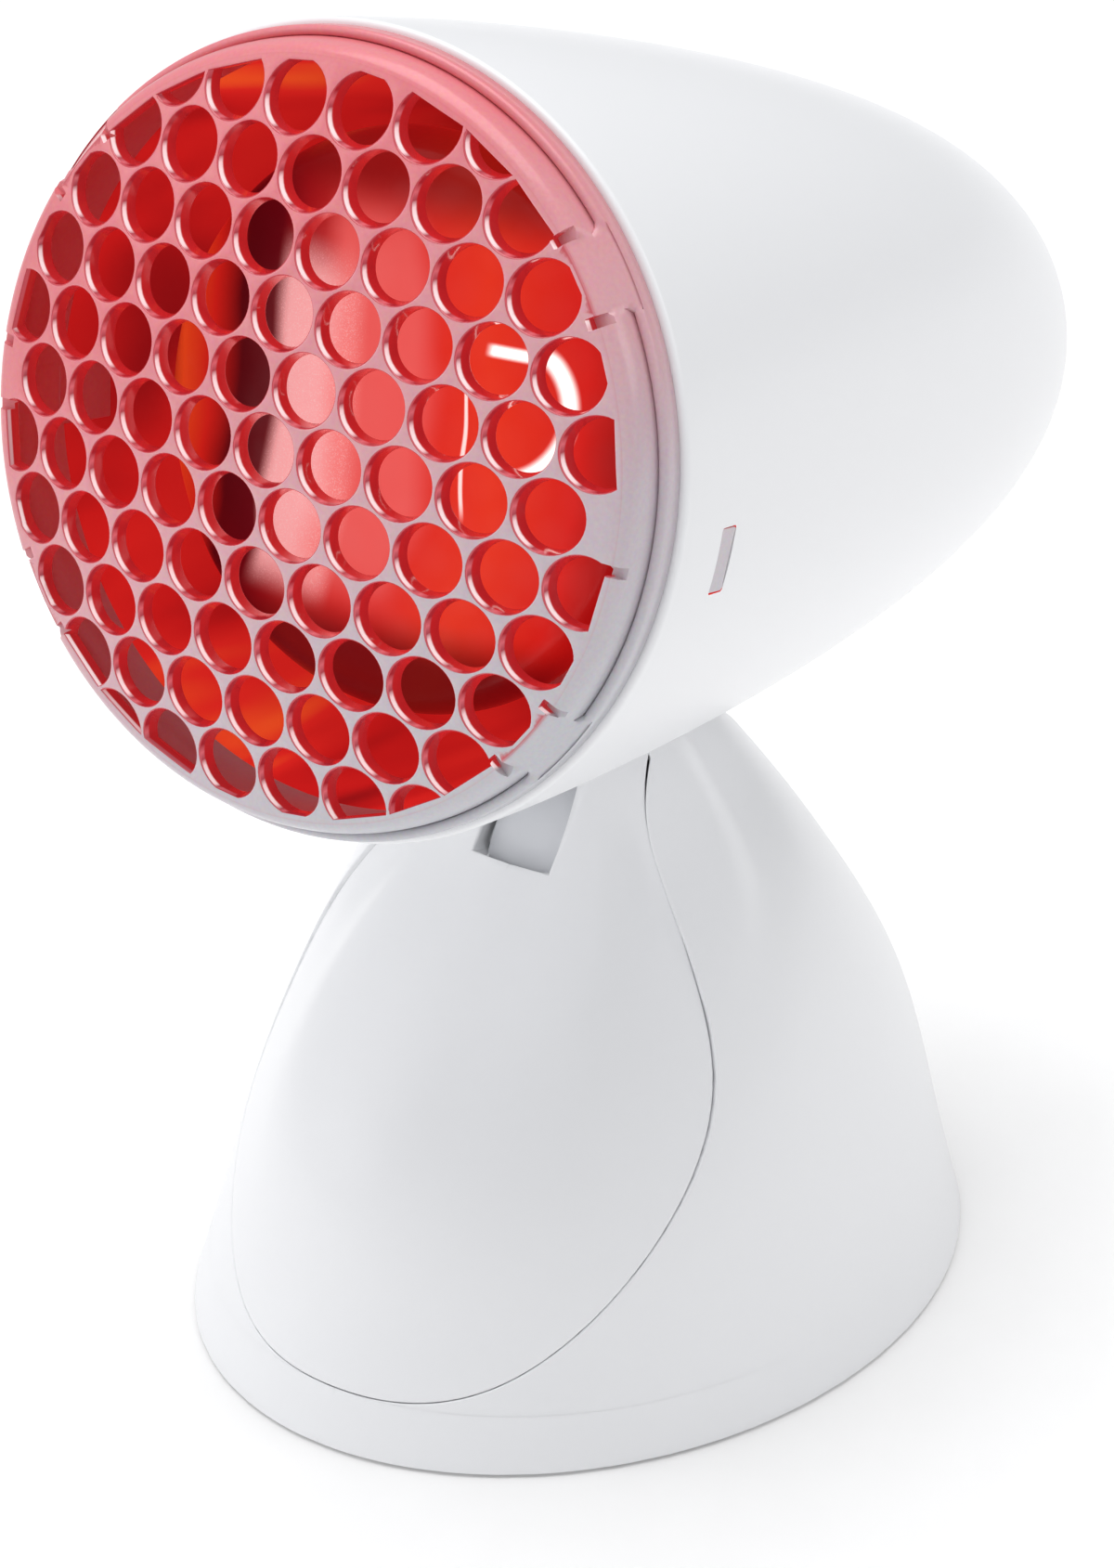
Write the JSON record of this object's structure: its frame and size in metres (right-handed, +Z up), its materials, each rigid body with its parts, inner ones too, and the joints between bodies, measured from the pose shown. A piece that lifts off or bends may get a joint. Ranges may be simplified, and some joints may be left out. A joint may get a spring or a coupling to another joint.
{
  "type": "infrared heat therapy lamp",
  "caption": "Table-top infrared heat lamp: bell-shaped stand with a tilting bullet head, a red reflector bulb and a clear honeycomb guard.",
  "frame": {"origin": "on the floor under the middle of the stand's oval base, in the plane of the rubber pad's underside", "axes": "+Z up, -Y the way the lamp shines, +X to the right as seen from the front"},
  "size_m": [0.1308, 0.2206, 0.2468],
  "materials": {
    "white_shell": "white moulded plastic with a satin gloss",
    "white_inner": "white moulded plastic, plain",
    "grey_white_arm": "pale grey-white moulded plastic",
    "clear_guard": "clear moulded plastic, polished, lit red by the bulb",
    "ruby_glass": "ruby red glass with a mirrored cup",
    "clear_glass": "clear glass",
    "black_glass": "black vitrified glass",
    "ceramic": "white glazed porcelain",
    "brass": "plain brass",
    "solder": "tinned solder",
    "tungsten": "dark drawn wire",
    "zinc_steel": "bright zinc-plated steel",
    "spring_steel": "blued spring steel",
    "fibre": "red-brown vulcanised fibre",
    "rubber_pad": "dark grey anti-slip rubber",
    "white_bush": "white moulded bush"
  },
  "bodies": {
    "stand": {"stand_rear_shell": "white_shell", "stand_front_panel": "white_shell", "base_plate": "white_inner", "base_pad": "rubber_pad", "shell_screws": "zinc_steel", "pivot_bracket": "zinc_steel", "tilt_bolt": "zinc_steel", "tilt_nut": "zinc_steel", "tilt_washer": "zinc_steel", "friction_washers": "fibre", "detent_spring": "spring_steel", "cord_bush": "white_bush", "terminal_block": "white_inner", "terminal_screws": "brass", "cord_clamp": "white_inner", "clamp_screws": "zinc_steel", "block_screw": "zinc_steel", "bracket_screws": "zinc_steel", "spring_screw": "zinc_steel"},
    "head": {"head_housing": "white_shell", "tilt_arm": "grey_white_arm", "arm_screws": "zinc_steel", "guard": "clear_guard", "lampholder": "ceramic", "holder_sleeve": "brass", "holder_contact": "brass", "holder_strap": "zinc_steel", "strap_screws": "zinc_steel", "holder_screws": "zinc_steel"},
    "bulb": {"bulb_glass": "ruby_glass", "bulb_cap": "brass", "cap_insulator": "black_glass", "cap_contact": "solder", "bulb_stem": "clear_glass", "filament": "tungsten"}
  },
  "joints": [
    {"name": "head_tilt", "type": "hinge", "parent": "stand", "child": "head", "pos_m": [0, 0.002, 0.078], "axis": [-1, 0, 0], "range_deg": [-11.8, 23.6]},
    {"name": "bulb_turn", "type": "hinge", "parent": "head", "child": "bulb", "pos_m": [0, 0.0006, 0.1686], "axis": [0, -0.9789, 0.2045], "range_deg": [0, 900]}
  ]
}
